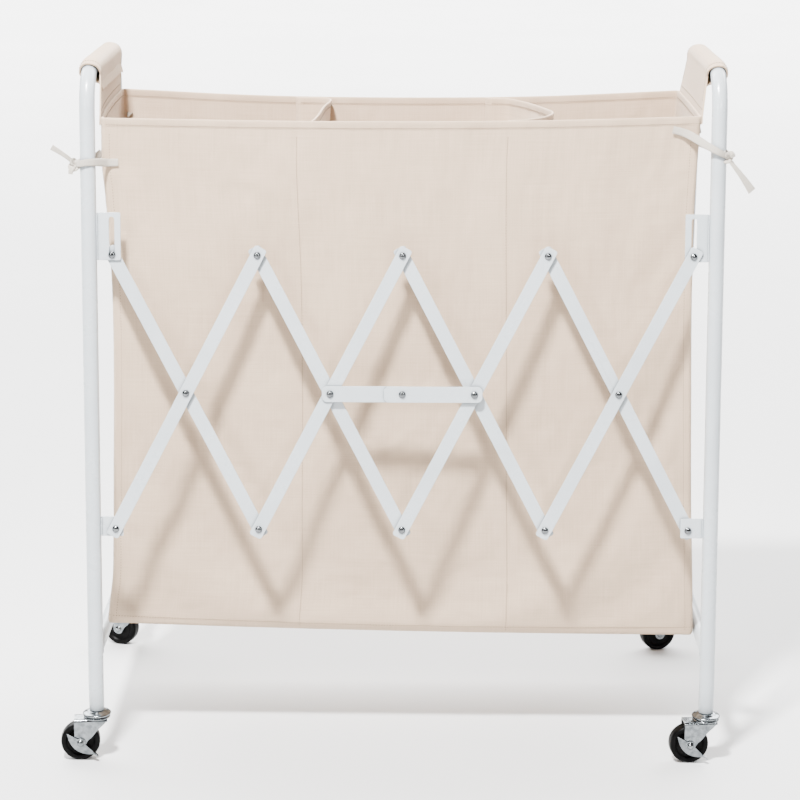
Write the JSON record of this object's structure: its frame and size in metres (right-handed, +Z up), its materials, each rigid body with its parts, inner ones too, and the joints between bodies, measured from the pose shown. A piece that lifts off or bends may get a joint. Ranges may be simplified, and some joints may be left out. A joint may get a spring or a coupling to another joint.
{
  "type": "laundry sorter",
  "caption": "Rolling laundry sorter: a white tube frame that folds on a scissor linkage, with a canvas bag in three compartments hung between its ends.",
  "frame": {"origin": "on the floor, below the middle of the sorter", "axes": "+Z up, +X from the left side frame to the right one as seen from the front, -Y towards the front"},
  "size_m": [0.8598, 0.4608, 0.8732],
  "materials": {
    "white_paint": "white gloss powder coat",
    "zinc": "bright zinc plate",
    "tyre": "black, satin",
    "canvas": "natural unbleached plain weave",
    "tape": "natural cotton tape"
  },
  "bodies": {
    "left_frame": {"side_frame_left": "white_paint", "lower_rail_left": "white_paint", "slot_bracket_front_left": "white_paint", "pivot_bracket_front_left": "white_paint", "caster_stem_front_left": "zinc", "bag_tie_front_left": "tape", "slot_bracket_rear_left": "white_paint", "pivot_bracket_rear_left": "white_paint", "caster_stem_rear_left": "zinc", "bag_tie_rear_left": "tape", "handle_sleeve_left": "canvas", "bag_front_panel": "canvas", "bag_rear_panel": "canvas", "bag_left_panel": "canvas", "bag_right_panel": "canvas", "bag_bottom_panel": "canvas", "bag_divider_left": "canvas", "bag_divider_right": "canvas"},
    "right_frame": {"side_frame_right": "white_paint", "lower_rail_right": "white_paint", "slot_bracket_front_right": "white_paint", "pivot_bracket_front_right": "white_paint", "caster_stem_front_right": "zinc", "bag_tie_front_right": "tape", "slot_bracket_rear_right": "white_paint", "pivot_bracket_rear_right": "white_paint", "caster_stem_rear_right": "zinc", "bag_tie_rear_right": "tape", "handle_sleeve_right": "canvas"},
    "bar_front_rise_1": {"scissor_bar_front_rise_1": "white_paint"},
    "bar_front_rise_2": {"scissor_bar_front_rise_2": "white_paint"},
    "bar_front_rise_3": {"scissor_bar_front_rise_3": "white_paint"},
    "bar_front_rise_4": {"scissor_bar_front_rise_4": "white_paint"},
    "bar_front_fall_1": {"scissor_bar_front_fall_1": "white_paint"},
    "bar_front_fall_2": {"scissor_bar_front_fall_2": "white_paint"},
    "bar_front_fall_3": {"scissor_bar_front_fall_3": "white_paint"},
    "bar_front_fall_4": {"scissor_bar_front_fall_4": "white_paint"},
    "bar_rear_rise_1": {"scissor_bar_rear_rise_1": "white_paint"},
    "bar_rear_rise_2": {"scissor_bar_rear_rise_2": "white_paint"},
    "bar_rear_rise_3": {"scissor_bar_rear_rise_3": "white_paint"},
    "bar_rear_rise_4": {"scissor_bar_rear_rise_4": "white_paint"},
    "bar_rear_fall_1": {"scissor_bar_rear_fall_1": "white_paint"},
    "bar_rear_fall_2": {"scissor_bar_rear_fall_2": "white_paint"},
    "bar_rear_fall_3": {"scissor_bar_rear_fall_3": "white_paint"},
    "bar_rear_fall_4": {"scissor_bar_rear_fall_4": "white_paint"},
    "brace_front_left": {"brace_link_front_left": "white_paint"},
    "brace_front_right": {"brace_link_front_right": "white_paint"},
    "brace_rear_left": {"brace_link_rear_left": "white_paint"},
    "brace_rear_right": {"brace_link_rear_right": "white_paint"},
    "caster_front_left": {"caster_fork_front_left": "zinc"},
    "wheel_front_left": {"caster_wheel_front_left": "tyre"},
    "brake_front_left": {"brake_lever_front_left": "zinc"},
    "caster_front_right": {"caster_fork_front_right": "zinc"},
    "wheel_front_right": {"caster_wheel_front_right": "tyre"},
    "brake_front_right": {"brake_lever_front_right": "zinc"},
    "caster_rear_left": {"caster_fork_rear_left": "zinc"},
    "wheel_rear_left": {"caster_wheel_rear_left": "tyre"},
    "caster_rear_right": {"caster_fork_rear_right": "zinc"},
    "wheel_rear_right": {"caster_wheel_rear_right": "tyre"}
  },
  "joints": [
    {"name": "fold", "type": "hinge", "parent": "left_frame", "child": "bar_front_rise_1", "pos_m": [-0.357, -0.19077, 0.298], "axis": [0, -0.9953, 0.0967], "range_deg": [0, 24.63], "deforming": ["bag_front_panel", "bag_rear_panel", "bag_left_panel", "bag_right_panel", "bag_bottom_panel", "bag_divider_left", "bag_divider_right"]},
    {"name": "front_high_pivot_1", "type": "hinge", "parent": "bar_front_rise_1", "child": "bar_front_fall_2", "pos_m": [-0.1785, -0.15766, 0.639], "axis": [0, -0.9953, 0.0967], "range_deg": [-49.25, 0]},
    {"name": "front_low_pivot_2", "type": "hinge", "parent": "bar_front_fall_2", "child": "bar_front_rise_3", "pos_m": [0, -0.19077, 0.298], "axis": [0, -0.9953, 0.0967], "range_deg": [0, 49.25]},
    {"name": "front_high_pivot_3", "type": "hinge", "parent": "bar_front_rise_3", "child": "bar_front_fall_4", "pos_m": [0.1785, -0.15766, 0.639], "axis": [0, -0.9953, 0.0967], "range_deg": [-49.25, 0]},
    {"name": "front_cross_pivot_1", "type": "hinge", "parent": "bar_front_rise_1", "child": "bar_front_fall_1", "pos_m": [-0.26775, -0.17421, 0.4685], "axis": [0, -0.9953, 0.0967], "range_deg": [-49.25, 0]},
    {"name": "front_cross_pivot_2", "type": "hinge", "parent": "bar_front_fall_2", "child": "bar_front_rise_2", "pos_m": [-0.08925, -0.17421, 0.4685], "axis": [0, -0.9953, 0.0967], "range_deg": [0, 49.25]},
    {"name": "front_cross_pivot_3", "type": "hinge", "parent": "bar_front_rise_3", "child": "bar_front_fall_3", "pos_m": [0.08925, -0.17421, 0.4685], "axis": [0, -0.9953, 0.0967], "range_deg": [-49.25, 0]},
    {"name": "front_cross_pivot_4", "type": "hinge", "parent": "bar_front_fall_4", "child": "bar_front_rise_4", "pos_m": [0.26775, -0.17421, 0.4685], "axis": [0, -0.9953, 0.0967], "range_deg": [0, 49.25]},
    {"name": "right_frame_pivot", "type": "hinge", "parent": "bar_front_fall_4", "child": "right_frame", "pos_m": [0.357, -0.19077, 0.298], "axis": [0, -0.9953, 0.0967], "range_deg": [0, 24.63]},
    {"name": "rear_fold", "type": "hinge", "parent": "left_frame", "child": "bar_rear_rise_1", "pos_m": [-0.357, 0.19077, 0.298], "axis": [0, -0.9953, -0.0967], "range_deg": [0, 24.63]},
    {"name": "rear_high_pivot_1", "type": "hinge", "parent": "bar_rear_rise_1", "child": "bar_rear_fall_2", "pos_m": [-0.1785, 0.15766, 0.639], "axis": [0, -0.9953, -0.0967], "range_deg": [-49.25, 0]},
    {"name": "rear_low_pivot_2", "type": "hinge", "parent": "bar_rear_fall_2", "child": "bar_rear_rise_3", "pos_m": [0, 0.19077, 0.298], "axis": [0, -0.9953, -0.0967], "range_deg": [0, 49.25]},
    {"name": "rear_high_pivot_3", "type": "hinge", "parent": "bar_rear_rise_3", "child": "bar_rear_fall_4", "pos_m": [0.1785, 0.15766, 0.639], "axis": [0, -0.9953, -0.0967], "range_deg": [-49.25, 0]},
    {"name": "rear_cross_pivot_1", "type": "hinge", "parent": "bar_rear_rise_1", "child": "bar_rear_fall_1", "pos_m": [-0.26775, 0.17421, 0.4685], "axis": [0, -0.9953, -0.0967], "range_deg": [-49.25, 0]},
    {"name": "rear_cross_pivot_2", "type": "hinge", "parent": "bar_rear_fall_2", "child": "bar_rear_rise_2", "pos_m": [-0.08925, 0.17421, 0.4685], "axis": [0, -0.9953, -0.0967], "range_deg": [0, 49.25]},
    {"name": "rear_cross_pivot_3", "type": "hinge", "parent": "bar_rear_rise_3", "child": "bar_rear_fall_3", "pos_m": [0.08925, 0.17421, 0.4685], "axis": [0, -0.9953, -0.0967], "range_deg": [-49.25, 0]},
    {"name": "rear_cross_pivot_4", "type": "hinge", "parent": "bar_rear_fall_4", "child": "bar_rear_rise_4", "pos_m": [0.26775, 0.17421, 0.4685], "axis": [0, -0.9953, -0.0967], "range_deg": [0, 49.25]},
    {"name": "front_brace_pivot_left", "type": "hinge", "parent": "bar_front_rise_2", "child": "brace_front_left", "pos_m": [-0.08925, -0.17421, 0.4685], "axis": [0, -0.9953, 0.0967], "range_deg": [0, 59.1]},
    {"name": "front_brace_pivot_right", "type": "hinge", "parent": "bar_front_rise_3", "child": "brace_front_right", "pos_m": [0.08925, -0.17421, 0.4685], "axis": [0, -0.9953, 0.0967], "range_deg": [-108.36, 0]},
    {"name": "rear_brace_pivot_left", "type": "hinge", "parent": "bar_rear_fall_2", "child": "brace_rear_left", "pos_m": [-0.08925, 0.17421, 0.4685], "axis": [0, -0.9953, -0.0967], "range_deg": [0, 108.36]},
    {"name": "rear_brace_pivot_right", "type": "hinge", "parent": "bar_rear_fall_3", "child": "brace_rear_right", "pos_m": [0.08925, 0.17421, 0.4685], "axis": [0, -0.9953, -0.0967], "range_deg": [-59.1, 0]},
    {"name": "swivel_front_left", "type": "hinge", "parent": "left_frame", "child": "caster_front_left", "pos_m": [-0.385, -0.21, 0.058], "axis": [0, 0, 1], "continuous": true},
    {"name": "wheel_spin_front_left", "type": "hinge", "parent": "caster_front_left", "child": "wheel_front_left", "pos_m": [-0.40628, -0.21224, 0.0247], "axis": [0.1045, -0.9945, 0], "continuous": true},
    {"name": "brake_front_left", "type": "hinge", "parent": "caster_front_left", "child": "brake_front_left", "pos_m": [-0.40628, -0.21224, 0.0247], "axis": [0.1045, -0.9945, 0], "range_deg": [0, 25]},
    {"name": "swivel_front_right", "type": "hinge", "parent": "right_frame", "child": "caster_front_right", "pos_m": [0.385, -0.21, 0.058], "axis": [0, 0, 1], "continuous": true},
    {"name": "wheel_spin_front_right", "type": "hinge", "parent": "caster_front_right", "child": "wheel_front_right", "pos_m": [0.36372, -0.21224, 0.0247], "axis": [0.1045, -0.9945, 0], "continuous": true},
    {"name": "brake_front_right", "type": "hinge", "parent": "caster_front_right", "child": "brake_front_right", "pos_m": [0.36372, -0.21224, 0.0247], "axis": [0.1045, -0.9945, 0], "range_deg": [0, 25]},
    {"name": "swivel_rear_left", "type": "hinge", "parent": "left_frame", "child": "caster_rear_left", "pos_m": [-0.385, 0.21, 0.058], "axis": [0, 0, 1], "continuous": true},
    {"name": "wheel_spin_rear_left", "type": "hinge", "parent": "caster_rear_left", "child": "wheel_rear_left", "pos_m": [-0.40535, 0.21661, 0.0247], "axis": [-0.309, -0.9511, 0], "continuous": true},
    {"name": "swivel_rear_right", "type": "hinge", "parent": "right_frame", "child": "caster_rear_right", "pos_m": [0.385, 0.21, 0.058], "axis": [0, 0, 1], "continuous": true},
    {"name": "wheel_spin_rear_right", "type": "hinge", "parent": "caster_rear_right", "child": "wheel_rear_right", "pos_m": [0.36465, 0.20339, 0.0247], "axis": [0.309, -0.9511, 0], "continuous": true}
  ],
  "couplings": [
    {"joint": "front_high_pivot_1", "follows": "fold", "ratio": -2},
    {"joint": "front_low_pivot_2", "follows": "fold", "ratio": 2},
    {"joint": "front_high_pivot_3", "follows": "fold", "ratio": -2},
    {"joint": "front_cross_pivot_1", "follows": "fold", "ratio": -2},
    {"joint": "front_cross_pivot_2", "follows": "fold", "ratio": 2},
    {"joint": "front_cross_pivot_3", "follows": "fold", "ratio": -2},
    {"joint": "front_cross_pivot_4", "follows": "fold", "ratio": 2},
    {"joint": "right_frame_pivot", "follows": "fold", "ratio": 1},
    {"joint": "rear_fold", "follows": "fold", "ratio": 1},
    {"joint": "rear_high_pivot_1", "follows": "fold", "ratio": -2},
    {"joint": "rear_low_pivot_2", "follows": "fold", "ratio": 2},
    {"joint": "rear_high_pivot_3", "follows": "fold", "ratio": -2},
    {"joint": "rear_cross_pivot_1", "follows": "fold", "ratio": -2},
    {"joint": "rear_cross_pivot_2", "follows": "fold", "ratio": 2},
    {"joint": "rear_cross_pivot_3", "follows": "fold", "ratio": -2},
    {"joint": "rear_cross_pivot_4", "follows": "fold", "ratio": 2},
    {"joint": "front_brace_pivot_left", "follows": "fold", "ratio": 2.3999},
    {"joint": "front_brace_pivot_right", "follows": "fold", "ratio": -4.3999},
    {"joint": "rear_brace_pivot_left", "follows": "fold", "ratio": 4.3999},
    {"joint": "rear_brace_pivot_right", "follows": "fold", "ratio": -2.3999}
  ]
}
